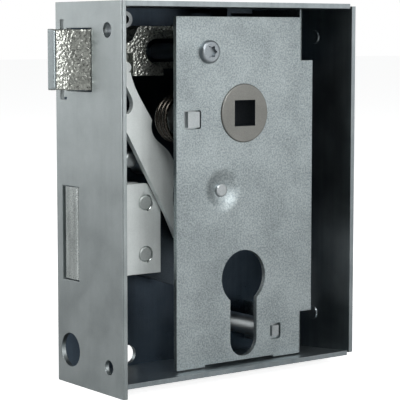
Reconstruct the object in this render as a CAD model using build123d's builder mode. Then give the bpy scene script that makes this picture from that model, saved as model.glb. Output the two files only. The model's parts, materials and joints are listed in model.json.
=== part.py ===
from build123d import *
import os

os.makedirs("parts", exist_ok=True)

# Gate mortise lock in a folded steel box that is open on one side.
# X = 0 is the forend's outer face and +X runs to the rear of the box.
# Y = 0 is half the box's thickness, the open side is -Y, the back plate +Y.
# Z = 0 is the height of the cylinder's axis.

# ---- driving dimensions, mm -------------------------------------------------
case_length = 89.5
case_depth = 36.0
case_height = 113.0
sheet = 1.5
case_bottom = -28.0
forend_drop = 3.0
corner_gap = 0.8
bend_radius = 2.0

backset = 50.0
centre_distance = 51.2
bolt_plane = 10.0
cover_recess = 7.0

euro_radius = 8.6
euro_slot_width = 10.5
euro_foot = 24.85

follower_radius = 9.03
square_size = 8.0
running_clearance = 0.07
press_gap = 0.02
bearing_gap = 0.05

latch_projection = 7.0
latch_width = 13.1
latch_height = 18.3

bolt_thickness = 8.2
bolt_height = 28.2
bolt_throw = 20.0

# ---- planes and levels that follow from them --------------------------------
rim_y = -case_depth / 2
back_y = case_depth / 2
back_inner = back_y - sheet
case_top = case_bottom + case_height
forend_bottom = case_bottom - forend_drop
rear_inner = case_length - sheet
cover_front = rim_y + cover_recess
cover_back = cover_front + sheet
follower_z = centre_distance


def front_plane(y):
    """Sketch plane parallel to the back plate at depth y."""
    return Plane(origin=(0, y, 0), x_dir=(1, 0, 0), z_dir=(0, -1, 0))


def forend_plane(x):
    """Sketch plane parallel to the forend at x; local x is Y, local y is Z."""
    return Plane(origin=(x, 0, 0), x_dir=(0, 1, 0), z_dir=(1, 0, 0))


def euro_profile(radius, slot_width, foot):
    """Outline of a Euro cylinder hole about the current location."""
    Circle(radius)
    slot_end = slot_width / 2
    with Locations((0, -(foot - slot_end) / 2)):
        Rectangle(slot_width, foot - slot_end)
    with Locations((0, slot_end - foot)):
        Circle(slot_end)


# ---- case: back plate, top, bottom and rear walls folded from one sheet -----
wall_end = rear_inner - corner_gap
fixing_hole_radius = 2.95
fixing_hole_x = 24.9
fixing_hole_z = -25.85
weld_spot_radius = 2.3
weld_spot_height = 0.35
weld_spot_taper = 35
weld_spot_levels = (74.5, -16.5)

with BuildPart() as case:
    # back plate with the top wall and the bottom wall, which leans outward
    with BuildSketch(forend_plane(sheet)):
        with BuildLine():
            Polyline(
                (rim_y, case_top),
                (back_y, case_top),
                (back_y, forend_bottom),
                (rim_y, case_bottom),
                (rim_y, case_bottom + sheet),
                (back_inner, forend_bottom + sheet),
                (back_inner, case_top - sheet),
                (rim_y, case_top - sheet),
                close=True,
            )
        make_face()
    extrude(amount=wall_end - sheet)
    outer_bends = case.edges().filter_by(Axis.X).sort_by(Axis.Y)[-2:]
    fillet(outer_bends, radius=bend_radius)
    # rear wall, its lower edge on the bottom wall's slope
    with BuildSketch(forend_plane(rear_inner)):
        with BuildLine():
            Polyline(
                (rim_y, case_bottom + corner_gap),
                (back_y, forend_bottom + corner_gap),
                (back_y, case_top - corner_gap),
                (rim_y, case_top - corner_gap),
                close=True,
            )
        make_face()
    extrude(amount=case_length - rear_inner)
    # strip that joins the rear wall to the back plate
    with BuildSketch(Plane.XY.offset(case_bottom + corner_gap)):
        with Locations(((wall_end + case_length) / 2, (back_inner + back_y) / 2)):
            Rectangle(case_length - wall_end, back_y - back_inner)
    extrude(amount=case_height - 2 * corner_gap)
    rear_bend = case.edges().filter_by(Axis.Z).group_by(Axis.X)[-1].sort_by(Axis.Y)[-1]
    fillet(rear_bend, radius=bend_radius)
    # spot welds stand slightly proud of the rear wall's inner face
    for level in weld_spot_levels:
        with BuildSketch(forend_plane(rear_inner)):
            with Locations((0, level)):
                Circle(weld_spot_radius)
        extrude(amount=-weld_spot_height, taper=weld_spot_taper)
    # holes through the back plate: follower, cylinder and the lower fixing
    with BuildSketch(front_plane(back_y)):
        with Locations((backset, follower_z)):
            Circle(follower_radius + running_clearance)
        with Locations((backset, 0)):
            euro_profile(euro_radius, euro_slot_width, euro_foot)
        with Locations((fixing_hole_x, fixing_hole_z)):
            Circle(fixing_hole_radius)
    extrude(amount=2 * sheet, mode=Mode.SUBTRACT)
case.part.label = "case"
export_step(case.part, "parts/case.step")

# ---- forend: flat plate welded across the front of the case ------------------
forend_screw_y = -10.3
forend_screw_levels = (76.6, -22.6)
forend_screw_radius = 2.2
cylinder_screw_y = 10.85
cylinder_screw_z = -20.5
cylinder_screw_radius = 5.2
hole_clearance = 0.25
bolt_slot_side_gap = 1.0
bolt_slot_end_gap = 0.6
forend_edge_radius = 0.6

latch_y_min = -1.7
latch_y_max = latch_y_min + latch_width
latch_z_min = 58.7
latch_z_max = latch_z_min + latch_height
bolt_z_min = 1.3
bolt_z_max = bolt_z_min + bolt_height
relief_y = 14.5
relief_width = 2.0
relief_z_min = 55.8
relief_z_max = 79.8
relief_foot = 1.6
relief_foot_height = 0.75

with BuildPart() as forend:
    with BuildSketch(forend_plane(0)):
        with Locations((0, (case_top + forend_bottom) / 2)):
            Rectangle(case_depth, case_top - forend_bottom)
        # latch opening with a relief slit along its far side
        with Locations(((latch_y_min + latch_y_max) / 2, (latch_z_min + latch_z_max) / 2)):
            Rectangle(
                latch_width + 2 * hole_clearance,
                latch_height + 2 * hole_clearance,
                mode=Mode.SUBTRACT,
            )
        with Locations((relief_y, (relief_z_min + relief_z_max) / 2)):
            Rectangle(relief_width, relief_z_max - relief_z_min, mode=Mode.SUBTRACT)
        with Locations((relief_y - relief_foot, relief_z_min + relief_foot_height / 2)):
            Rectangle(relief_width, relief_foot_height, mode=Mode.SUBTRACT)
        # deadbolt slot
        with Locations((bolt_plane + hole_clearance, (bolt_z_min + bolt_z_max) / 2)):
            Rectangle(
                bolt_thickness + bolt_slot_side_gap,
                bolt_height + bolt_slot_end_gap,
                mode=Mode.SUBTRACT,
            )
        for level in forend_screw_levels:
            with Locations((forend_screw_y, level)):
                Circle(forend_screw_radius, mode=Mode.SUBTRACT)
        with Locations((cylinder_screw_y, cylinder_screw_z)):
            Circle(cylinder_screw_radius, mode=Mode.SUBTRACT)
    extrude(amount=sheet)
    open_side_edge = forend.edges().filter_by(Axis.Z).group_by(Axis.X)[0].sort_by(Axis.Y)[0]
    fillet(open_side_edge, radius=forend_edge_radius)
forend.part.label = "forend"
export_step(forend.part, "parts/forend.step")

# ---- fixing nut: round weld nut behind the forend's upper screw hole ---------
nut_radius = 3.4
nut_length = 2.5
nut_chamfer = 0.5

with BuildPart() as fixing_nut:
    with BuildSketch(forend_plane(sheet)):
        with Locations((forend_screw_y, forend_screw_levels[0])):
            Circle(nut_radius)
            Circle(forend_screw_radius, mode=Mode.SUBTRACT)
    extrude(amount=nut_length)
    nut_rim = fixing_nut.faces().sort_by(Axis.X)[-1].outer_wire().edges()
    chamfer(nut_rim, length=nut_chamfer)
fixing_nut.part.label = "fixing_nut"
export_step(fixing_nut.part, "parts/fixing_nut.step")

# ---- cover plate: pan over the mechanism, held off the back by two legs ------
cover_left = 24.2
cover_leg_x = 73.8
cover_tab_x = 77.6
cover_top = 80.7
cover_bottom = -26.6
tab_top = 67.2
tab_bottom = -13.1
leg_top = 83.2
foot_slot = (34.9, 62.0)
foot_slot_top = -26.0
leg_bend = 1.3
leg_relief = 0.2
leg_foot_gap = 0.6
window_corner = 0.7

window_size = (6.3, 5.7)
window_centre = (30.3, 49.7)
small_window_size = (4.3, 5.1)
small_window_centre = (62.85, -18.4)
cover_screw_place = (36.3, 70.1)
cover_screw_hole = 2.2
dimple_place = (41.8, 27.7)
dimple_outer = 6.2
dimple_inner = 2.6
dimple_depth = 1.1
dimple_taper = 73.0
dimple_lip_round = 8.0
dimple_collar = 0.6
pillar_end_radius = 2.1

with BuildPart() as cover_plate:
    with BuildSketch(front_plane(cover_back)):
        with BuildLine():
            Polyline(
                (cover_left, cover_bottom),
                (foot_slot[0], cover_bottom),
                (foot_slot[0], foot_slot_top),
                (foot_slot[1], foot_slot_top),
                (foot_slot[1], cover_bottom),
                (cover_leg_x, cover_bottom),
                (cover_leg_x, tab_bottom),
                (cover_tab_x, tab_bottom),
                (cover_tab_x, tab_top),
                (cover_leg_x, tab_top),
                (cover_leg_x, cover_top),
                (cover_left, cover_top),
                close=True,
            )
        make_face()
    extrude(amount=sheet)
    # legs turned back to the back plate above and below the wide middle
    leg_spans = (
        (tab_top + leg_relief, leg_top),
        (cover_bottom + leg_foot_gap, tab_bottom - leg_relief),
    )
    for low, high in leg_spans:
        with BuildSketch(Plane.XY.offset(low)):
            with Locations((cover_leg_x - sheet / 2, (cover_front + back_inner) / 2)):
                Rectangle(sheet, back_inner - cover_front)
        extrude(amount=high - low)
    outer_leg_bends = (
        cover_plate.edges()
        .filter_by(Axis.Z)
        .filter_by(lambda e: abs(e.center().X - cover_leg_x) < 0.01)
        .filter_by(lambda e: abs(e.center().Y - cover_front) < 0.01)
    )
    fillet(outer_leg_bends, radius=leg_bend)
    # sunk cone around the centre pillar
    with BuildSketch(front_plane(cover_front)):
        with Locations(dimple_place):
            Circle(dimple_outer)
    extrude(amount=-dimple_depth, taper=dimple_taper, mode=Mode.SUBTRACT)
    dimple_lip = (
        cover_plate.edges()
        .filter_by(GeomType.CIRCLE)
        .filter_by(lambda e: abs(e.radius - dimple_outer) < 0.01)
    )
    fillet(dimple_lip, radius=dimple_lip_round)
    with BuildSketch(front_plane(cover_back + dimple_depth)):
        with Locations(dimple_place):
            Circle(dimple_inner + dimple_collar)
            Circle(pillar_end_radius, mode=Mode.SUBTRACT)
    extrude(amount=dimple_depth)
    # openings: follower, cylinder, tenon windows, screw and pillar end
    with BuildSketch(front_plane(cover_back + dimple_depth)):
        with Locations((backset, follower_z)):
            Circle(follower_radius + running_clearance)
        with Locations((backset, 0)):
            euro_profile(euro_radius, euro_slot_width, euro_foot)
        with Locations(window_centre):
            RectangleRounded(*window_size, radius=window_corner)
        with Locations(small_window_centre):
            RectangleRounded(*small_window_size, radius=window_corner)
        with Locations(cover_screw_place):
            Circle(cover_screw_hole)
        with Locations(dimple_place):
            Circle(pillar_end_radius)
    extrude(amount=2 * sheet + dimple_depth, mode=Mode.SUBTRACT)
cover_plate.part.label = "cover_plate"
export_step(cover_plate.part, "parts/cover_plate.step")

# ---- screw and threaded pillar that hold the cover ----------------------------
pillar_radius = 2.55
screw_shank = 2.0
screw_length = 7.0
screw_head_radius = 3.5
screw_head_height = 1.6
screw_head_round = 0.8
screw_tip_gap = 1.0
torx_radius = 1.55
torx_lobe = 0.42
torx_depth = 1.1

with BuildPart() as cover_pillar:
    with BuildSketch(front_plane(back_inner)):
        with Locations(cover_screw_place):
            Circle(pillar_radius)
    extrude(amount=back_inner - cover_back)
    with BuildSketch(front_plane(cover_back)):
        with Locations(cover_screw_place):
            Circle(screw_shank)
    extrude(amount=-screw_length, mode=Mode.SUBTRACT)
cover_pillar.part.label = "cover_pillar"
export_step(cover_pillar.part, "parts/cover_pillar.step")

with BuildPart() as cover_screw:
    with BuildSketch(front_plane(cover_front)):
        with Locations(cover_screw_place):
            Circle(screw_head_radius)
    extrude(amount=screw_head_height)
    fillet(cover_screw.faces().sort_by(Axis.Y)[0].edges(), radius=screw_head_round)
    with BuildSketch(front_plane(cover_front)):
        with Locations(cover_screw_place):
            Circle(screw_shank - press_gap)
    extrude(amount=-(screw_length + sheet - screw_tip_gap))
    # six-lobe recess
    with BuildSketch(front_plane(cover_front - screw_head_height)):
        with Locations(cover_screw_place):
            Circle(torx_radius)
            with PolarLocations(torx_radius, 6):
                Circle(torx_lobe)
    extrude(amount=-torx_depth, mode=Mode.SUBTRACT)
cover_screw.part.label = "cover_screw"
export_step(cover_screw.part, "parts/cover_screw.step")

# ---- centre pillar, peened over in the cover's dimple -------------------------
pillar_end_drop = 0.4
pillar_end_round = 0.5

with BuildPart() as centre_pillar:
    with BuildSketch(front_plane(back_inner)):
        with Locations(dimple_place):
            Circle(pillar_radius)
    extrude(amount=back_inner - cover_back - dimple_depth)
    with BuildSketch(front_plane(cover_back + dimple_depth)):
        with Locations(dimple_place):
            Circle(pillar_end_radius - press_gap)
    extrude(amount=sheet + dimple_depth - pillar_end_drop)
    fillet(centre_pillar.faces().sort_by(Axis.Y)[0].edges(), radius=pillar_end_round)
centre_pillar.part.label = "centre_pillar"
export_step(centre_pillar.part, "parts/centre_pillar.step")

# ---- lower spacer, with a tenon through the small window ----------------------
tenon_reach = 1.1
spacer_radius = 3.2
small_tenon = (2.6, 3.4)
small_tenon_shift = 0.4

with BuildPart() as lower_spacer:
    with BuildSketch(front_plane(back_inner)):
        with Locations(small_window_centre):
            Circle(spacer_radius)
    extrude(amount=back_inner - cover_back)
    with BuildSketch(front_plane(cover_back)):
        with Locations((small_window_centre[0] + small_tenon_shift, small_window_centre[1])):
            Rectangle(*small_tenon)
    extrude(amount=tenon_reach)
lower_spacer.part.label = "lower_spacer"
export_step(lower_spacer.part, "parts/lower_spacer.step")

# ---- spring post, hung from the cover by a tenon in the upper window ----------
post_radius = 4.6
post_length = 11.5
post_place = (31.0, 49.7)
post_tenon = (4.4, 4.8)

with BuildPart() as spring_post:
    with BuildSketch(front_plane(cover_back + post_length)):
        with Locations(post_place):
            Circle(post_radius)
    extrude(amount=post_length)
    with BuildSketch(front_plane(cover_back)):
        with Locations(post_place):
            Rectangle(*post_tenon)
    extrude(amount=tenon_reach)
spring_post.part.label = "spring_post"
export_step(spring_post.part, "parts/spring_post.step")

# ---- follower: hub with a square hole and an arm that draws the latch ---------
follower_proud = 0.5
follower_back_gap = 0.4
follower_edge_round = 0.4
follower_core = 7.6
flange_thickness = 1.6
arm_y = (2.0, 10.0)
arm_width = 5.0
arm_reach = 13.0
arm_lean = 15.5
return_lobe_reach = 10.5
return_lobe_drop = 4.5
return_lobe_height = 3.6
return_lobe_y = (-7.0, -3.0)

with BuildPart() as follower:
    follower_front = cover_front - follower_proud
    with BuildSketch(front_plane(back_y - follower_back_gap)):
        with Locations((backset, follower_z)):
            Circle(follower_radius)
    extrude(amount=sheet + flange_thickness)
    with BuildSketch(front_plane(cover_back + flange_thickness)):
        with Locations((backset, follower_z)):
            Circle(follower_radius)
    extrude(amount=cover_back + flange_thickness - follower_front)
    with BuildSketch(front_plane(back_inner)):
        with Locations((backset, follower_z)):
            Circle(follower_core)
    extrude(amount=back_inner - cover_back)
    # latch arm, leaning towards the forend at rest
    with BuildSketch(front_plane(arm_y[1])):
        with Locations(Location((backset, follower_z), arm_lean)):
            with Locations((0, arm_reach / 2)):
                Rectangle(arm_width, arm_reach)
    extrude(amount=arm_y[1] - arm_y[0])
    # return lobe under the spring's leg
    with BuildSketch(front_plane(return_lobe_y[1])):
        with Locations((backset - return_lobe_reach / 2, follower_z - return_lobe_drop)):
            Rectangle(return_lobe_reach, return_lobe_height)
    extrude(amount=return_lobe_y[1] - return_lobe_y[0])
    with BuildSketch(front_plane(back_y)):
        with Locations((backset, follower_z)):
            Rectangle(square_size, square_size)
    extrude(amount=case_depth, mode=Mode.SUBTRACT)
    fillet(follower.faces().sort_by(Axis.Y)[0].outer_wire().edges(), radius=follower_edge_round)
follower.part.label = "follower"
export_step(follower.part, "parts/follower.step")

# ---- follower spring: coil round the post, one leg on the return lobe ---------
wire_radius = 0.75
coil_radius = 6.65
coil_pitch = 2.0
coil_turns = 3
coil_start_y = -6.3
lobe_top = follower_z - return_lobe_drop + return_lobe_height / 2
leg_overlap = 2.0
leg_rest_gap = 0.1
leg_end_x = backset - return_lobe_reach + leg_overlap
leg_end_z = lobe_top + wire_radius + leg_rest_gap
post_x, post_z = post_place

with BuildPart() as follower_spring:
    with BuildLine():
        # helix along Y from the lobe's level to the post's inner end
        coil = Helix(
            pitch=coil_pitch,
            height=coil_pitch * coil_turns,
            radius=coil_radius,
            center=(post_x, coil_start_y, post_z),
            direction=(0, 1, 0),
        )
    with BuildSketch(Plane(origin=coil @ 0, z_dir=coil % 0)):
        Circle(wire_radius)
    sweep(path=coil, is_frenet=True)
    # leg reaches from the front of the coil over the follower's lobe
    with BuildLine() as leg_path:
        Line(coil @ 0, (leg_end_x, coil_start_y, leg_end_z))
    with BuildSketch(Plane(origin=leg_path.line @ 0, z_dir=leg_path.line % 0)):
        Circle(wire_radius)
    sweep(path=leg_path.line)
follower_spring.part.label = "follower_spring"
export_step(follower_spring.part, "parts/follower_spring.step")

# ---- latch bolt: one casting of bevelled head, neck and forked tail -----------
latch_inside = 7.5
bevel_start = -0.2
bevel_crown = (-4.4, 2.5)
bevel_corner_round = 0.6
tip_flat_y = 7.9
join_overlap = 1.0
tail_left_x = 17.9
tail_front_y = 2.6
neck_z = (69.4, 73.1)
neck_step_y = 5.6
fork_bottom = 62.6
fork_top = 78.05
fork_hollow_x = 23.0
lower_prong_end = 29.5
lower_prong_top = 65.6
upper_prong_end = 34.0
upper_prong_bottom = 73.95
bar_y = (4.0, 8.0)
bar_z = (64.7, 67.0)
hook_x = (50.0, 53.6)
hook_bottom = 62.2
spring_rod_z = 76.0
spring_rod_y = 6.0
rod_radius = 1.1
rod_hole_depth = 5.0

with BuildPart() as latch_bolt:
    # head: a crowned bevel on the open side, with a flat strip at the tip
    with BuildSketch(Plane.XY.offset(latch_z_min)):
        with BuildLine():
            ThreePointArc(
                (bevel_start, latch_y_min),
                bevel_crown,
                (-latch_projection, tip_flat_y),
            )
            Polyline(
                (-latch_projection, tip_flat_y),
                (-latch_projection, latch_y_max),
                (latch_inside, latch_y_max),
                (latch_inside, latch_y_min),
                (bevel_start, latch_y_min),
            )
        make_face()
    extrude(amount=latch_height)
    fillet(latch_bolt.edges().filter_by(GeomType.CIRCLE), radius=bevel_corner_round)
    # neck, stepped back below so that the changeover lever passes in front
    with BuildSketch(front_plane(latch_y_max)):
        with BuildLine():
            Polyline(
                (latch_inside - join_overlap, fork_bottom),
                (tail_left_x + join_overlap, fork_bottom),
                (tail_left_x + join_overlap, neck_z[1]),
                (latch_inside - join_overlap, neck_z[1]),
                close=True,
            )
        make_face()
    extrude(amount=latch_y_max - neck_step_y)
    # forked tail, hollowed round the cover's screw pillar
    with BuildSketch(front_plane(latch_y_max)):
        with BuildLine():
            Polyline(
                (latch_inside - join_overlap, neck_z[1]),
                (latch_inside - join_overlap, neck_z[0]),
                (tail_left_x, neck_z[0]),
                (tail_left_x, fork_bottom),
                (lower_prong_end, fork_bottom),
                (lower_prong_end, lower_prong_top),
                (27.8, lower_prong_top),
            )
            Spline(
                (27.8, lower_prong_top),
                (25.2, 66.95),
                (23.75, 68.2),
                (fork_hollow_x, 70.1),
                (23.4, 72.1),
                (24.9, 73.35),
                (27.5, upper_prong_bottom),
            )
            Polyline(
                (27.5, upper_prong_bottom),
                (upper_prong_end, upper_prong_bottom),
                (upper_prong_end, fork_top),
                (20.6, fork_top),
            )
            Spline(
                (20.6, fork_top),
                (19.3, 76.7),
                (18.0, 74.3),
                (16.3, neck_z[1]),
            )
            Line((16.3, neck_z[1]), (latch_inside - join_overlap, neck_z[1]))
        make_face()
    extrude(amount=latch_y_max - tail_front_y)
    # bar with a hook behind the follower's arm
    with BuildSketch(front_plane(bar_y[1])):
        with BuildLine():
            Polyline(
                (lower_prong_end - join_overlap, bar_z[0]),
                (hook_x[0], bar_z[0]),
                (hook_x[0], hook_bottom),
                (hook_x[1], hook_bottom),
                (hook_x[1], bar_z[1]),
                (lower_prong_end - join_overlap, bar_z[1]),
                close=True,
            )
        make_face()
    extrude(amount=bar_y[1] - bar_y[0])
    # blind hole for the spring rod
    with BuildSketch(forend_plane(upper_prong_end)):
        with Locations((spring_rod_y, spring_rod_z)):
            Circle(rod_radius)
    extrude(amount=-rod_hole_depth, mode=Mode.SUBTRACT)
latch_bolt.part.label = "latch_bolt"
export_step(latch_bolt.part, "parts/latch_bolt.step")

# ---- latch guide pin: hollow pin over the latch's head --------------------------
guide_place = (15.2, 79.8)
guide_radius = 2.5
guide_hole_radius = 1.3
guide_hole_depth = 6.0
guide_front_y = 2.6

with BuildPart() as latch_guide_pin:
    with BuildSketch(front_plane(back_inner)):
        with Locations(guide_place):
            Circle(guide_radius)
    extrude(amount=back_inner - guide_front_y)
    with BuildSketch(front_plane(guide_front_y)):
        with Locations(guide_place):
            Circle(guide_hole_radius)
    extrude(amount=-guide_hole_depth, mode=Mode.SUBTRACT)
latch_guide_pin.part.label = "latch_guide_pin"
export_step(latch_guide_pin.part, "parts/latch_guide_pin.step")

# ---- latch spring, its rod and the bracket it pushes against ------------------
rod_end = 61.0
bracket_x = 53.0
bracket_width = 9.0
bracket_foot = 10.0
bracket_hole_gap = 0.12
rod_chamfer = 0.4
bracket_z = (71.6, case_top - sheet)
latch_wire = 0.45
latch_coil_radius = 1.85
latch_coils = 11
coil_end_gap = 0.1

with BuildPart() as latch_spring_rod:
    with BuildSketch(forend_plane(upper_prong_end - rod_hole_depth)):
        with Locations((spring_rod_y, spring_rod_z)):
            Circle(rod_radius - press_gap)
    extrude(amount=rod_end - upper_prong_end + rod_hole_depth)
    chamfer(latch_spring_rod.faces().sort_by(Axis.X)[-1].edges(), length=rod_chamfer)
latch_spring_rod.part.label = "latch_spring_rod"
export_step(latch_spring_rod.part, "parts/latch_spring_rod.step")

with BuildPart() as latch_spring_bracket:
    with BuildSketch(forend_plane(bracket_x)):
        with Locations((spring_rod_y, (bracket_z[0] + bracket_z[1]) / 2)):
            Rectangle(bracket_width, bracket_z[1] - bracket_z[0])
        with Locations((spring_rod_y, spring_rod_z)):
            Circle(rod_radius + bracket_hole_gap, mode=Mode.SUBTRACT)
    extrude(amount=sheet)
    # foot turned along the top wall
    with BuildSketch(Plane.XY.offset(bracket_z[1])):
        with Locations((bracket_x + bracket_foot / 2, spring_rod_y)):
            Rectangle(bracket_foot, bracket_width)
    extrude(amount=-sheet)
latch_spring_bracket.part.label = "latch_spring_bracket"
export_step(latch_spring_bracket.part, "parts/latch_spring_bracket.step")

with BuildPart() as latch_spring:
    coil_length = bracket_x - upper_prong_end - 2 * (latch_wire + coil_end_gap)
    with BuildLine():
        latch_coil = Helix(
            pitch=coil_length / latch_coils,
            height=coil_length,
            radius=latch_coil_radius,
            center=(upper_prong_end + latch_wire + coil_end_gap, spring_rod_y, spring_rod_z),
            direction=(1, 0, 0),
        )
    with BuildSketch(Plane(origin=latch_coil @ 0, z_dir=latch_coil % 0)):
        Circle(latch_wire)
    sweep(path=latch_coil, is_frenet=True)
latch_spring.part.label = "latch_spring"
export_step(latch_spring.part, "parts/latch_spring.step")

# ---- changeover lever: lets the cylinder's cam draw the latch -----------------
lever_front = 3.2
lever_thickness = 2.0
lever_back = lever_front + lever_thickness
lever_pivot_place = (29.3, 35.2)
lever_lug_place = (40.6, 10.2)
lever_lug_radius = 1.5
lever_lug_length = 2.9
lever_head_place = (16.0, 65.4)
lever_head_radius = 1.65

with BuildPart() as changeover_lever:
    with BuildSketch(front_plane(lever_back)):
        with BuildLine():
            # right edge from the head down to the lug
            right_edge = Spline(
                (17.4, 63.9), (19.1, 59.3), (22.8, 53.1), (25.3, 49.2),
            )
            Spline(
                right_edge @ 1, (26.7, 43.3), (31.0, 39.8), (33.6, 35.6), (33.2, 27.0),
                (33.6, 21.0), (37.0, 15.0), (42.2, 10.6),
            )
            Spline((42.2, 10.6), (41.4, 8.6), (39.6, 8.6))
            # left edge back up to the hooked shoulder
            Polyline(
                (39.6, 8.6), (34.4, 12.0), (30.8, 19.5), (23.8, 31.8), (15.7, 46.0),
            )
            ThreePointArc((15.7, 46.0), (12.8, 49.0), (15.2, 51.4))
            Spline((15.2, 51.4), (17.7, 52.2), (18.2, 54.8), (17.0, 57.6), (15.6, 63.9))
            Line((15.6, 63.9), (17.4, 63.9))
        make_face()
        # rounded head that bears on the latch's tail
        with Locations(lever_head_place):
            Circle(lever_head_radius)
    extrude(amount=lever_thickness)
    # lug in the path of the cam
    with BuildSketch(front_plane(lever_back)):
        with Locations(lever_lug_place):
            Circle(lever_lug_radius)
    extrude(amount=-lever_lug_length)
changeover_lever.part.label = "changeover_lever"
export_step(changeover_lever.part, "parts/changeover_lever.step")

# ---- lever pivot and its bush on the back plate -------------------------------
lever_pin_radius = 2.0
bush_radius = 3.6
bush_front = 7.0
pivot_back_gap = 0.5

with BuildPart() as lever_pivot:
    with BuildSketch(front_plane(back_inner - pivot_back_gap)):
        with Locations(lever_pivot_place):
            Circle(lever_pin_radius)
    extrude(amount=back_inner - pivot_back_gap - lever_back)
lever_pivot.part.label = "lever_pivot"
export_step(lever_pivot.part, "parts/lever_pivot.step")

with BuildPart() as lever_bush:
    with BuildSketch(front_plane(back_inner)):
        with Locations(lever_pivot_place):
            Circle(bush_radius)
            Circle(lever_pin_radius + bearing_gap, mode=Mode.SUBTRACT)
    extrude(amount=back_inner - bush_front)
lever_bush.part.label = "lever_bush"
export_step(lever_bush.part, "parts/lever_bush.step")

# ---- deadbolt: solid block riveted to its tail plate --------------------------
bolt_tip = 0.3
bolt_end = 30.3
bolt_back = bolt_plane + bolt_thickness / 2
bolt_cut = (5.0, 7.6)
bolt_nose_front = 2.0
bolt_nose_back = 0.8
rivet_countersink = 0.4
cut_margin = 1.0
tail_front = 8.5
tail_thickness = 2.5
tail_slot_x = 20.0
rivet_radius = 2.3
rivet_places = ((24.6, 23.5), (24.6, 7.4))

with BuildPart() as deadbolt:
    with BuildSketch(front_plane(bolt_back)):
        with BuildLine():
            Polyline(
                (bolt_tip, bolt_z_min),
                (bolt_end, bolt_z_min),
                (bolt_end, bolt_z_max - bolt_cut[1]),
                (bolt_end - bolt_cut[0], bolt_z_max),
                (bolt_tip, bolt_z_max),
                close=True,
            )
        make_face()
    extrude(amount=bolt_thickness)
    nose_edges = deadbolt.edges().filter_by(Axis.Z).group_by(Axis.X)[0].sort_by(Axis.Y)
    fillet(nose_edges[0], radius=bolt_nose_front)
    nose_edges = deadbolt.edges().filter_by(Axis.Z).group_by(Axis.X)[0].sort_by(Axis.Y)
    fillet(nose_edges[-1], radius=bolt_nose_back)
    # slot for the tail plate, and the rivet holes
    with BuildSketch(front_plane(tail_front + tail_thickness)):
        slot_middle_x = (tail_slot_x + bolt_end) / 2 + cut_margin
        with Locations((slot_middle_x, (bolt_z_min + bolt_z_max) / 2)):
            Rectangle(bolt_end - tail_slot_x + 2 * cut_margin, bolt_height + 2 * cut_margin)
    extrude(amount=tail_thickness, mode=Mode.SUBTRACT)
    with BuildSketch(front_plane(bolt_back)):
        with Locations(*rivet_places):
            Circle(rivet_radius)
    extrude(amount=bolt_thickness, mode=Mode.SUBTRACT)
    rivet_mouths = (
        deadbolt.faces()
        .filter_by(Axis.Y)
        .group_by(Axis.Y)[0]
        .edges()
        .filter_by(GeomType.CIRCLE)
    )
    chamfer(rivet_mouths, length=rivet_countersink)
deadbolt.part.label = "deadbolt"
export_step(deadbolt.part, "parts/deadbolt.step")

# ---- deadbolt tail: cam notch below, guide slot and detent notches above ------
tail_left = tail_slot_x + 0.1
tail_drop = 6.0
tail_shoulder = (8.5, 5.0, 4.5)
tail_body_end = 38.0
tail_end = 71.0
tail_z = (2.0, 22.5)
arm_bottom = 10.2
cam_notch_x = backset + bolt_throw / 2
cam_notch = (10.0, 15.4)
guide_slot_z = 19.0
guide_pin_radius = 1.5
guide_slot_radius = guide_pin_radius + 0.1
guide_pin_collar = 1.1
guide_pin_head = 1.0
guide_pin_gap_front = 0.4
guide_pin_gap_back = 0.3
guide_pin_x = 46.0
detent_x = 46.0
detent_radius = 1.2
detent_offset = 0.5

with BuildPart() as deadbolt_tail:
    with BuildSketch(front_plane(tail_front + tail_thickness)):
        with BuildLine():
            Polyline(
                (tail_left, tail_z[0]),
                (tail_body_end, tail_z[0] - tail_drop),
                (tail_body_end, arm_bottom),
                (cam_notch_x - cam_notch[0] / 2, arm_bottom),
                (cam_notch_x - cam_notch[0] / 2, cam_notch[1]),
                (cam_notch_x + cam_notch[0] / 2, cam_notch[1]),
                (cam_notch_x + cam_notch[0] / 2, arm_bottom),
                (tail_end, arm_bottom),
                (tail_end, tail_z[1]),
                (tail_left + tail_shoulder[0], tail_z[1]),
                (tail_left + tail_shoulder[1], tail_z[1] + tail_shoulder[2]),
                (tail_left, tail_z[1] + tail_shoulder[2]),
                close=True,
            )
        make_face()
        with Locations(*rivet_places):
            Circle(rivet_radius, mode=Mode.SUBTRACT)
        with Locations((guide_pin_x + bolt_throw / 2, guide_slot_z)):
            SlotCenterToCenter(bolt_throw, 2 * guide_slot_radius, mode=Mode.SUBTRACT)
        for notch_x in (detent_x, detent_x + bolt_throw):
            with Locations((notch_x, tail_z[1] + detent_offset)):
                Circle(detent_radius, mode=Mode.SUBTRACT)
    extrude(amount=tail_thickness)
deadbolt_tail.part.label = "deadbolt_tail"
export_step(deadbolt_tail.part, "parts/deadbolt_tail.step")

# ---- rivets through bolt and tail, one node of two solids ---------------------
rivet_head = 0.1
rivet_chamfer = 0.35

with BuildPart() as deadbolt_rivets:
    with BuildSketch(front_plane(bolt_back)):
        with Locations(*rivet_places):
            Circle(rivet_radius - press_gap)
    extrude(amount=bolt_thickness + rivet_head)
    rivet_faces = deadbolt_rivets.faces().filter_by(Axis.Y).group_by(Axis.Y)[0]
    chamfer(rivet_faces.edges(), length=rivet_chamfer)
deadbolt_rivets.part.label = "deadbolt_rivets"
export_step(deadbolt_rivets.part, "parts/deadbolt_rivets.step")

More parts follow.
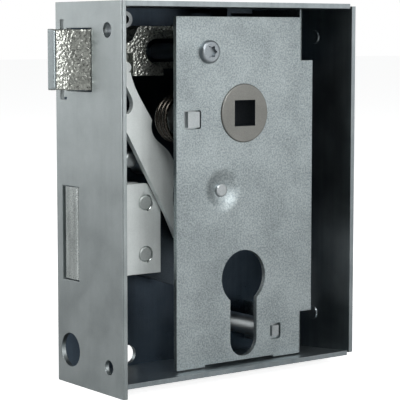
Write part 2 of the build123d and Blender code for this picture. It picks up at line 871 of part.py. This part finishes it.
# ---- guide pin in the tail's slot ----------------------------------------------
with BuildPart() as bolt_guide_pin:
    with BuildSketch(front_plane(back_inner)):
        with Locations((guide_pin_x, guide_slot_z)):
            Circle(guide_pin_radius)
    extrude(amount=back_inner - tail_front + guide_pin_gap_front + guide_pin_head)
    # head that keeps the tail on the pin
    with BuildSketch(front_plane(tail_front - guide_pin_gap_front)):
        with Locations((guide_pin_x, guide_slot_z)):
            Circle(guide_pin_radius + guide_pin_collar)
    extrude(amount=guide_pin_head)
    # shoulder behind the tail
    with BuildSketch(front_plane(back_inner)):
        with Locations((guide_pin_x, guide_slot_z)):
            Circle(guide_pin_radius + guide_pin_collar)
    extrude(amount=back_inner - tail_front - tail_thickness - guide_pin_gap_back)
bolt_guide_pin.part.label = "bolt_guide_pin"
export_step(bolt_guide_pin.part, "parts/bolt_guide_pin.step")

# ---- detent spring: a leaf whose nose drops into the tail's notches -----------
leaf_thickness = 0.7
detent_nose = detent_radius - 0.15
leaf_knee = (6.0, 1.6)
leaf_post_gap = 0.4
detent_post_place = (70.0, 31.0)
detent_post_radius = 2.4
detent_post_end = 1.0

with BuildPart() as detent_post:
    with BuildSketch(front_plane(back_inner)):
        with Locations(detent_post_place):
            Circle(detent_post_radius)
    extrude(amount=back_inner - tail_front + detent_post_end)
detent_post.part.label = "detent_post"
export_step(detent_post.part, "parts/detent_post.step")

with BuildPart() as detent_spring:
    with BuildSketch(front_plane(tail_front + tail_thickness)):
        with BuildLine() as leaf_line:
            leaf_top = tail_z[1] + detent_offset + detent_nose - leaf_thickness / 2
            Polyline(
                (detent_x, leaf_top),
                (detent_x + leaf_knee[0], leaf_top + leaf_knee[1]),
                (detent_post_place[0], detent_post_place[1] - detent_post_radius - leaf_post_gap),
            )
        trace(leaf_line.line, line_width=leaf_thickness)
        with Locations((detent_x, tail_z[1] + detent_offset)):
            Circle(detent_nose)
        # eye closed round the post
        with Locations(detent_post_place):
            Circle(detent_post_radius + leaf_thickness + press_gap)
            Circle(detent_post_radius + press_gap, mode=Mode.SUBTRACT)
    extrude(amount=tail_thickness)
detent_spring.part.label = "detent_spring"
export_step(detent_spring.part, "parts/detent_spring.step")

# ---- stop pillar beside the lever ----------------------------------------------
stop_place = (20.2, 37.0)
stop_radius = 2.5
stop_front = 7.0
stop_round = 0.8

with BuildPart() as stop_pillar:
    with BuildSketch(front_plane(back_inner)):
        with Locations(stop_place):
            Circle(stop_radius)
    extrude(amount=back_inner - stop_front)
    fillet(stop_pillar.faces().sort_by(Axis.Y)[0].edges(), radius=stop_round)
stop_pillar.part.label = "stop_pillar"
export_step(stop_pillar.part, "parts/stop_pillar.step")
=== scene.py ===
import json
from math import cos, radians, sin

import bmesh
import bpy
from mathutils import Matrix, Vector


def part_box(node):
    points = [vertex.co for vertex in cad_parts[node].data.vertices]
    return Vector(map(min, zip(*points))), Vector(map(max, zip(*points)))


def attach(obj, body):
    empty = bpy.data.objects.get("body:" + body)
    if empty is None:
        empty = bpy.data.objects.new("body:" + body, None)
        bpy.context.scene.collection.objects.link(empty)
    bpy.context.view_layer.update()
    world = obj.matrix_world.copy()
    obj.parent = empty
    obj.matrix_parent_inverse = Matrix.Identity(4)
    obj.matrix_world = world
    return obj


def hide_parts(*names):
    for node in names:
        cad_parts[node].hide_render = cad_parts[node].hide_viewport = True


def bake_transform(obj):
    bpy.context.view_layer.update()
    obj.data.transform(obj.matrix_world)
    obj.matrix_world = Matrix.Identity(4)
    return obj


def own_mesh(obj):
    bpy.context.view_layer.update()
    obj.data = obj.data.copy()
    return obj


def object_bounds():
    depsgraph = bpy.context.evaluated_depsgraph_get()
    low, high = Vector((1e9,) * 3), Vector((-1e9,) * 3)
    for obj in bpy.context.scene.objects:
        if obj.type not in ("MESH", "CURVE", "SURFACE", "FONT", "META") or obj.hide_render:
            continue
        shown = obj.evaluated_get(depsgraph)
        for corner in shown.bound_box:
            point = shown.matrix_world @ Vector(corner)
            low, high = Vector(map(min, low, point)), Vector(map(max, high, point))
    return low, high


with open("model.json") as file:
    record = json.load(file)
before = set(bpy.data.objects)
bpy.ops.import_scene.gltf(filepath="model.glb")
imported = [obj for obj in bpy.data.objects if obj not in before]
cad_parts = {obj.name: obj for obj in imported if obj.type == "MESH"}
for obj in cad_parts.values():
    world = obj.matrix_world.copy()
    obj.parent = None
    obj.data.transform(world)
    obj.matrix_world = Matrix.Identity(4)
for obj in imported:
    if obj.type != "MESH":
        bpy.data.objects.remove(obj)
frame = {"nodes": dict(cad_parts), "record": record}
cad_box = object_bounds()
middle = (Vector(cad_box[0]) + Vector(cad_box[1])) / 2
MM = 0.001

body_of = {}
for body_name, members in frame["record"]["behaviour"]["bodies"].items():
    for member in members:
        body_of[member] = body_name


# ---- node helpers ------------------------------------------------------------
def add(tree, kind, **settings):
    """A node with its settings; a key that isn't a property names an input."""
    node = tree.nodes.new(kind)
    for key, value in settings.items():
        if hasattr(node, key):
            setattr(node, key, value)
        else:
            node.inputs[key.replace("_", " ")].default_value = value
    return node


def new_group(name, inputs, outputs):
    """An empty node group; inputs are (label, default), outputs (label, socket type)."""
    tree = bpy.data.node_groups.new(name, "ShaderNodeTree")
    for label, default in inputs:
        kind = "NodeSocketColor" if isinstance(default, tuple) else "NodeSocketFloat"
        socket = tree.interface.new_socket(label, in_out="INPUT", socket_type=kind)
        socket.default_value = default
    for label, kind in outputs:
        tree.interface.new_socket(label, in_out="OUTPUT", socket_type=kind)
    return tree, tree.nodes.new("NodeGroupInput"), tree.nodes.new("NodeGroupOutput")


def placed_group(tree, group, **values):
    node = tree.nodes.new("ShaderNodeGroup")
    node.node_tree = group
    for key, value in values.items():
        node.inputs[key.replace("_", " ")].default_value = value
    return node


def surface_noise(tree, scale, detail=3.0, roughness=0.55, stretch=(1, 1, 1)):
    """Noise over the piece, scale in features per metre."""
    place = add(tree, "ShaderNodeTexCoord")
    mapping = add(tree, "ShaderNodeMapping", Scale=stretch)
    noise = add(tree, "ShaderNodeTexNoise", Scale=scale, Detail=detail, Roughness=roughness)
    tree.links.new(place.outputs["Object"], mapping.inputs["Vector"])
    tree.links.new(mapping.outputs["Vector"], noise.inputs["Vector"])
    return noise


def remap(tree, source, low_in, high_in, low_out=0.0, high_out=1.0):
    node = add(tree, "ShaderNodeMapRange")
    node.inputs["From Min"].default_value = low_in
    node.inputs["From Max"].default_value = high_in
    node.inputs["To Min"].default_value = low_out
    node.inputs["To Max"].default_value = high_out
    tree.links.new(source, node.inputs["Value"])
    return node.outputs["Result"]


def blended(tree, share, first, second):
    """Colour mix of two sockets or plain colours by a share socket."""
    mix = add(tree, "ShaderNodeMix", data_type="RGBA")
    tree.links.new(share, mix.inputs[0])
    for source, socket in ((first, mix.inputs[6]), (second, mix.inputs[7])):
        if isinstance(source, tuple):
            socket.default_value = source
        else:
            tree.links.new(source, socket)
    return mix.outputs[2]


# ---- effects shared by the finishes ---------------------------------------------
def plating_group():
    """Cloudy tone and fine grain of plated steel."""
    tree, given, out = new_group(
        "plating",
        [
            ("Dark", (0.2, 0.2, 0.2, 1)),
            ("Light", (0.4, 0.4, 0.4, 1)),
            ("Cloud Size", 90.0),
            ("Grain Size", 2600.0),
            ("Grain Share", 0.5),
            ("Roughness", 0.4),
            ("Roughness Spread", 0.1),
        ],
        [
            ("Color", "NodeSocketColor"),
            ("Roughness", "NodeSocketFloat"),
            ("Grain", "NodeSocketFloat"),
        ],
    )
    tone_low, tone_high = 0.35, 0.65
    cloud = surface_noise(tree, 90.0, detail=4.0)
    tree.links.new(given.outputs["Cloud Size"], cloud.inputs["Scale"])
    grain = surface_noise(tree, 2600.0, detail=2.0, roughness=0.7)
    tree.links.new(given.outputs["Grain Size"], grain.inputs["Scale"])
    cloud_tone = remap(tree, cloud.outputs["Fac"], tone_low, tone_high)
    grain_tone = remap(tree, grain.outputs["Fac"], tone_low, tone_high)
    tone = add(tree, "ShaderNodeMix", data_type="FLOAT")
    tree.links.new(given.outputs["Grain Share"], tone.inputs[0])
    tree.links.new(cloud_tone, tone.inputs[2])
    tree.links.new(grain_tone, tone.inputs[3])
    color = blended(tree, tone.outputs[0], given.outputs["Dark"], given.outputs["Light"])
    gloss = add(tree, "ShaderNodeMath", operation="MULTIPLY_ADD")
    tree.links.new(tone.outputs[0], gloss.inputs[0])
    tree.links.new(given.outputs["Roughness Spread"], gloss.inputs[1])
    tree.links.new(given.outputs["Roughness"], gloss.inputs[2])
    tree.links.new(color, out.inputs["Color"])
    tree.links.new(gloss.outputs[0], out.inputs["Roughness"])
    tree.links.new(grain_tone, out.inputs["Grain"])
    return tree


def rolling_group():
    """Faint upright lines that the rolling mill leaves on sheet."""
    tree, given, out = new_group(
        "rolling_lines", [("Strength", 0.3)], [("Mask", "NodeSocketFloat")]
    )
    lines = surface_noise(tree, 90.0, detail=5.0, stretch=(6.0, 6.0, 0.35))
    tone = remap(tree, lines.outputs["Fac"], 0.4, 0.75)
    scaled = add(tree, "ShaderNodeMath", operation="MULTIPLY")
    tree.links.new(tone, scaled.inputs[0])
    tree.links.new(given.outputs["Strength"], scaled.inputs[1])
    tree.links.new(scaled.outputs[0], out.inputs["Mask"])
    return tree


def smudge_group():
    """Soft dull patches, as oil and handling leave."""
    tree, given, out = new_group(
        "smudges", [("Size", 35.0), ("Strength", 0.3)], [("Mask", "NodeSocketFloat")]
    )
    patches = surface_noise(tree, 35.0, detail=6.0, roughness=0.65)
    tree.links.new(given.outputs["Size"], patches.inputs["Scale"])
    tone = remap(tree, patches.outputs["Fac"], 0.48, 0.72)
    scaled = add(tree, "ShaderNodeMath", operation="MULTIPLY")
    tree.links.new(tone, scaled.inputs[0])
    tree.links.new(given.outputs["Strength"], scaled.inputs[1])
    tree.links.new(scaled.outputs[0], out.inputs["Mask"])
    return tree


plating = plating_group()
rolling = rolling_group()
smudges = smudge_group()


CLOUD_SIZE = 90.0
SMUDGE_SIZE = 36.0
ROUGHNESS_SPREAD = 0.1
SMUDGE_SHADE = 0.55
RELIEF_STRENGTH = 0.6


def steel(
    name, dark, light, roughness, metallic=1.0, grain=2600.0, grain_share=0.5,
    relief=0.01, lines=0.0, dull=0.2,
):
    """A steel finish: plating tone, rolling lines, smudges and a fine relief in mm."""
    material = bpy.data.materials.new(name)
    material.use_nodes = True
    tree = material.node_tree
    tree.nodes.clear()
    output = add(tree, "ShaderNodeOutputMaterial")
    shader = add(tree, "ShaderNodeBsdfPrincipled", Metallic=metallic)
    tree.links.new(shader.outputs["BSDF"], output.inputs["Surface"])
    tone = placed_group(
        tree, plating, Dark=(*dark, 1), Light=(*light, 1), Cloud_Size=CLOUD_SIZE,
        Grain_Size=grain, Grain_Share=grain_share, Roughness=roughness,
        Roughness_Spread=ROUGHNESS_SPREAD,
    )
    shade = (*[SMUDGE_SHADE * part for part in dark], 1)
    color = tone.outputs["Color"]
    if lines:
        rolled = placed_group(tree, rolling, Strength=lines)
        color = blended(tree, rolled.outputs["Mask"], color, shade)
    patches = placed_group(tree, smudges, Size=SMUDGE_SIZE, Strength=dull)
    color = blended(tree, patches.outputs["Mask"], color, shade)
    tree.links.new(color, shader.inputs["Base Color"])
    tree.links.new(tone.outputs["Roughness"], shader.inputs["Roughness"])
    bump = add(tree, "ShaderNodeBump", Strength=RELIEF_STRENGTH, Distance=relief * MM)
    tree.links.new(tone.outputs["Grain"], bump.inputs["Height"])
    tree.links.new(bump.outputs["Normal"], shader.inputs["Normal"])
    return material


# ---- finishes ------------------------------------------------------------------
forend_zinc = steel(
    "forend_zinc", (0.31, 0.345, 0.35), (0.41, 0.45, 0.455), 0.31, grain_share=0.35, lines=0.08
)
case_zinc = steel(
    "case_zinc", (0.27, 0.31, 0.325), (0.38, 0.42, 0.435), 0.30, grain_share=0.3, lines=0.3
)
# painted shade: the case's own zinc made darker, standing in for the shade inside the case
case_inside_painted_shade = steel(
    "case_inside_painted_shade", (0.055, 0.075, 0.10), (0.09, 0.115, 0.145), 0.27, grain_share=0.3, lines=0.3
)
cover_galvanised = steel(
    "cover_galvanised", (0.215, 0.25, 0.26), (0.49, 0.545, 0.555), 0.40, grain=1900.0,
    grain_share=0.72, relief=0.025, dull=0.2,
)
stamped_bright = steel(
    "stamped_bright", (0.74, 0.79, 0.78), (0.86, 0.91, 0.90), 0.42, grain_share=0.4,
    lines=0.1, dull=0.1, metallic=0.3,
)
# dark oiled steel of the small inner parts; on the follower's square hole it is painted shade
oiled_dark_and_painted_shade = steel("oiled_dark_and_painted_shade", (0.05, 0.065, 0.08), (0.10, 0.12, 0.14), 0.4)
turned_steel = steel("turned_steel", (0.38, 0.41, 0.42), (0.52, 0.55, 0.56), 0.32)
screw_zinc = steel("screw_zinc", (0.24, 0.27, 0.29), (0.38, 0.41, 0.43), 0.36)
sintered_steel = steel(
    "sintered_steel", (0.19, 0.192, 0.18), (0.28, 0.28, 0.262), 0.42, grain=3200.0, metallic=0.9
)
spring_wire = steel("spring_wire", (0.035, 0.032, 0.028), (0.09, 0.08, 0.068), 0.22)
# the bolt end's glossier finish; its darker colour is partly painted shade for the rounded nose
bolt_end_painted_shade = steel("bolt_end_painted_shade", (0.38, 0.415, 0.41), (0.60, 0.645, 0.635), 0.22, lines=0.5)
rivet_steel = steel(
    "rivet_steel", (0.42, 0.46, 0.45), (0.60, 0.64, 0.63), 0.45, grain_share=0.6, metallic=0.4
)
cast_skin = steel(
    "cast_skin", (0.25, 0.26, 0.24), (0.62, 0.64, 0.59), 0.26, grain=1500.0,
    grain_share=0.8, relief=0.05, metallic=0.9,
)
ground_face = steel("ground_face", (0.26, 0.30, 0.31), (0.33, 0.37, 0.38), 0.34, dull=0.1)

finish_of = {
    "case": case_zinc,
    "forend": forend_zinc,
    "cover_plate": cover_galvanised,
    "changeover_lever": stamped_bright,
    "deadbolt": stamped_bright,
    "deadbolt_tail": oiled_dark_and_painted_shade,
    "latch_spring_bracket": oiled_dark_and_painted_shade,
    "follower": sintered_steel,
    "latch_bolt": cast_skin,
    "follower_spring": spring_wire,
    "latch_spring": spring_wire,
    "detent_spring": oiled_dark_and_painted_shade,
    "detent_post": oiled_dark_and_painted_shade,
    "deadbolt_rivets": rivet_steel,
    "cover_screw": screw_zinc,
    "fixing_nut": screw_zinc,
}
for node, shape in frame["nodes"].items():
    finish = finish_of.get(node, turned_steel)
    if not shape.material_slots:
        shape.data.materials.append(finish)
    for slot in shape.material_slots:
        slot.material = finish


# ---- pieces that stand for CAD nodes, with worked edges ---------------------------
MERGE_WITHIN = 0.001 * MM
SHARP_ABOVE = radians(32)
FLAT_WITHIN = radians(0.3)
EASE_ABOVE = radians(50)
EASE_SEGMENTS = 3
SHEET_EDGE = 0.22
COVER_EDGE = 0.2
HUB_EDGE = 0.2
BOLT_EDGE = 0.15


def merged_copy(node):
    """The node's own surface as a bmesh, its loose triangles joined."""
    form = bmesh.new()
    form.from_mesh(frame["nodes"][node].data)
    bmesh.ops.remove_doubles(form, verts=form.verts, dist=MERGE_WITHIN)
    return form


def put_in_place(form, name, node, *finishes, rides=True):
    """Makes the piece, rides it on the node's body unless it bends, and shows it for the node."""
    mesh = bpy.data.meshes.new(name)
    form.to_mesh(mesh)
    form.free()
    for finish in finishes:
        mesh.materials.append(finish)
    mesh.polygons.foreach_set("use_smooth", [True] * len(mesh.polygons))
    mesh.set_sharp_from_angle(angle=SHARP_ABOVE)
    piece = bpy.data.objects.new(name, mesh)
    bpy.context.collection.objects.link(piece)
    if rides:
        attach(piece, body_of[node])
    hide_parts(node)
    return piece


def eased(node, width):
    """The node with its sharp edges rounded, as stamping and plating leave them."""
    form = merged_copy(node)
    bmesh.ops.dissolve_limit(
        form, angle_limit=FLAT_WITHIN, verts=form.verts, edges=form.edges,
        use_dissolve_boundaries=False,
    )
    sharp = [
        edge
        for edge in form.edges
        if len(edge.link_faces) == 2 and edge.calc_face_angle(0.0) > EASE_ABOVE
    ]
    bmesh.ops.bevel(
        form, geom=sharp, offset=width * MM, offset_type="OFFSET", affect="EDGES",
        segments=EASE_SEGMENTS, profile=0.5, material=-1, clamp_overlap=True,
    )
    bmesh.ops.triangulate(form, faces=[face for face in form.faces if len(face.verts) > 4])
    piece = put_in_place(form, node + "_eased", node, finish_of[node])
    even = piece.modifiers.new("flat_faces_stay_flat", "WEIGHTED_NORMAL")
    even.mode = "FACE_AREA"
    even.weight = 100
    even.keep_sharp = True
    return piece


def second_finish(piece, finish, takes_it):
    """Gives the faces that takes_it(face) picks another finish."""
    piece.data.materials.append(finish)
    for face in piece.data.polygons:
        face.material_index = int(takes_it(face))


eased("forend", SHEET_EDGE)

tray = eased("case", SHEET_EDGE)
back_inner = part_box("spring_post")[1].y
# painted shade: the back plate's front-facing inner faces take the darker copy of the case zinc
second_finish(
    tray, case_inside_painted_shade, lambda face: face.normal.y < -0.9 and face.center.y > back_inner
)

eased("cover_plate", COVER_EDGE)
eased("changeover_lever", SHEET_EDGE)

hub = eased("follower", HUB_EDGE)
square_reach = 4.3 * MM
square_centre = next(
    Vector(mount["pos_m"])
    for mount in frame["record"]["mounts"]
    if mount["name"] == "follower_square"
)


def in_square_hole(face):
    off = face.center - square_centre
    return abs(face.normal.y) < 0.5 and max(abs(off.x), abs(off.z)) < square_reach


# painted shade: the walls of the follower's square hole take the dark finish, for the shade deep
# in the hole
second_finish(hub, oiled_dark_and_painted_shade, in_square_hole)

bolt = eased("deadbolt", BOLT_EDGE)
# painted shade: the bolt's faces towards the forend take a darker, glossier copy of its steel
second_finish(bolt, bolt_end_painted_shade, lambda face: face.normal.x < -0.2)


def cast_latch():
    """Latch with the pitted skin of a casting, and a smooth ground tip."""
    skin_step = 0.27 * MM
    pit_size = 0.66 * MM
    pit_depth = 0.5 * MM
    ground_depth = 0.25 * MM
    form = merged_copy("latch_bolt")
    piece = put_in_place(form, "latch_casting", "latch_bolt", cast_skin, ground_face)
    skin = piece.modifiers.new("even_skin", "REMESH")
    skin.mode = "VOXEL"
    skin.voxel_size = skin_step
    skin.adaptivity = 0.0
    soften = piece.modifiers.new("soft_corners", "SMOOTH")
    soften.factor = 0.5
    soften.iterations = 3
    graph = bpy.context.evaluated_depsgraph_get()
    done = bpy.data.meshes.new_from_object(piece.evaluated_get(graph))
    piece.modifiers.clear()
    piece.data = done
    done.materials.clear()
    done.materials.append(cast_skin)
    done.materials.append(ground_face)
    pits = bpy.data.textures.new("cast_pits", "CLOUDS")
    pits.noise_scale = pit_size
    pits.noise_depth = 2
    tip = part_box("latch_bolt")[0].x + ground_depth
    rough = piece.vertex_groups.new(name="rough")
    rough.add([v.index for v in done.vertices if v.co.x > tip], 1.0, "REPLACE")
    relief = piece.modifiers.new("cast_relief", "DISPLACE")
    relief.texture = pits
    relief.texture_coords = "LOCAL"
    relief.strength = pit_depth
    relief.mid_level = 0.95
    relief.vertex_group = "rough"
    done.polygons.foreach_set("use_smooth", [True] * len(done.polygons))
    for face in done.polygons:
        face.material_index = int(face.center.x < tip and face.normal.x < -0.9)


cast_latch()

# the return spring gets a mesh of its own and rides on its node's body
return_spring = put_in_place(
    merged_copy("latch_spring"), "return_spring", "latch_spring", spring_wire
)
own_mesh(return_spring)

# the follower's spring rides on no body and keeps its place as built
leg_spring = put_in_place(
    merged_copy("follower_spring"), "leg_spring", "follower_spring", spring_wire, rides=False
)
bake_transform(leg_spring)


# ---- stage, light and camera -------------------------------------------------------
def pale_floor():
    """White to the eye; mid grey in what it reflects onto the object."""
    floor_half = 6.0
    floor_gap = 0.1 * MM
    form = bmesh.new()
    bmesh.ops.create_grid(form, x_segments=1, y_segments=1, size=floor_half)
    floor_level = cad_box[0].z - floor_gap
    bmesh.ops.translate(form, vec=(0, 0, floor_level), verts=form.verts)
    mesh = bpy.data.meshes.new("floor")
    form.to_mesh(mesh)
    form.free()
    floor = bpy.data.objects.new("floor", mesh)
    bpy.context.collection.objects.link(floor)
    material = bpy.data.materials.new("pale_floor")
    material.use_nodes = True
    tree = material.node_tree
    tree.nodes.clear()
    output = add(tree, "ShaderNodeOutputMaterial")
    seen = add(tree, "ShaderNodeBsdfPrincipled", Roughness=0.9)
    seen.inputs["Base Color"].default_value = (0.85, 0.85, 0.85, 1)
    seen.inputs["Emission Color"].default_value = (1, 1, 1, 1)
    seen.inputs["Emission Strength"].default_value = 0.85
    felt = add(tree, "ShaderNodeBsdfPrincipled", Roughness=0.9)
    felt.inputs["Base Color"].default_value = (0.62, 0.62, 0.62, 1)
    path = add(tree, "ShaderNodeLightPath")
    choice = add(tree, "ShaderNodeMixShader")
    tree.links.new(path.outputs["Is Camera Ray"], choice.inputs[0])
    tree.links.new(felt.outputs[0], choice.inputs[1])
    tree.links.new(seen.outputs[0], choice.inputs[2])
    tree.links.new(choice.outputs[0], output.inputs["Surface"])
    mesh.materials.append(material)


def soft_box(name, place, size, power):
    lamp = bpy.data.lights.new(name, "AREA")
    lamp.shape = "RECTANGLE"
    lamp.size, lamp.size_y = size
    lamp.energy = power
    holder = bpy.data.objects.new(name, lamp)
    holder.location = place
    holder.rotation_euler = (middle - Vector(place)).to_track_quat("-Z", "Y").to_euler()
    bpy.context.collection.objects.link(holder)


def studio_walls():
    """White to the eye; towards the object, dimmer at the left rear than at the right."""
    world = bpy.data.worlds.new("studio_walls")
    bpy.context.scene.world = world
    world.use_nodes = True
    tree = world.node_tree
    tree.nodes.clear()
    output = add(tree, "ShaderNodeOutputWorld")
    seen = add(tree, "ShaderNodeBackground", Color=(1, 1, 1, 1), Strength=1.0)
    felt = add(tree, "ShaderNodeBackground", Color=(0.97, 1.0, 1.0, 1))
    place = add(tree, "ShaderNodeTexCoord")
    side = add(tree, "ShaderNodeVectorMath", operation="DOT_PRODUCT")
    side.inputs[1].default_value = Vector((0.65, -0.7, 0.3)).normalized()
    tree.links.new(place.outputs["Generated"], side.inputs[0])
    level = remap(tree, side.outputs["Value"], -0.9, 0.9, 0.06, 0.17)
    tree.links.new(level, felt.inputs["Strength"])
    path = add(tree, "ShaderNodeLightPath")
    choice = add(tree, "ShaderNodeMixShader")
    tree.links.new(path.outputs["Is Camera Ray"], choice.inputs[0])
    tree.links.new(felt.outputs[0], choice.inputs[1])
    tree.links.new(seen.outputs[0], choice.inputs[2])
    tree.links.new(choice.outputs[0], output.inputs["Surface"])


pale_floor()
studio_walls()
# name, place, size and power of each soft box
soft_boxes = (
    ("left_rear", (-0.40, 1.05, 0.24), (0.6, 0.6), 2.1),
    ("right_front", (0.60, -0.95, 0.32), (0.9, 0.9), 3.2),
    ("front", (0.10, -1.00, 0.35), (0.35, 0.35), 3.2),
    ("above_left", (-0.34, -0.66, 0.80), (0.4, 0.4), 6.0),
    ("left_low", (-0.90, 0.32, 0.22), (0.3, 0.3), 3.0),
)
for box_name, box_place, box_size, box_power in soft_boxes:
    soft_box(box_name, box_place, box_size, box_power)

camera_place = Vector((-256.46, -398.94, 74.77)) * MM
camera_turn = radians(36.7275)
camera_dip = radians(5.842)

lens = bpy.data.cameras.new("camera")
lens.sensor_width = 36.0
lens.lens = 144.0
lens.clip_start = 0.01
camera = bpy.data.objects.new("camera", lens)
look = Vector(
    (
        sin(camera_turn) * cos(camera_dip),
        cos(camera_turn) * cos(camera_dip),
        -sin(camera_dip),
    )
)
camera.location = camera_place
camera.rotation_euler = look.to_track_quat("-Z", "Y").to_euler()
bpy.context.collection.objects.link(camera)
bpy.context.scene.camera = camera
bpy.context.scene.view_settings.view_transform = "Standard"
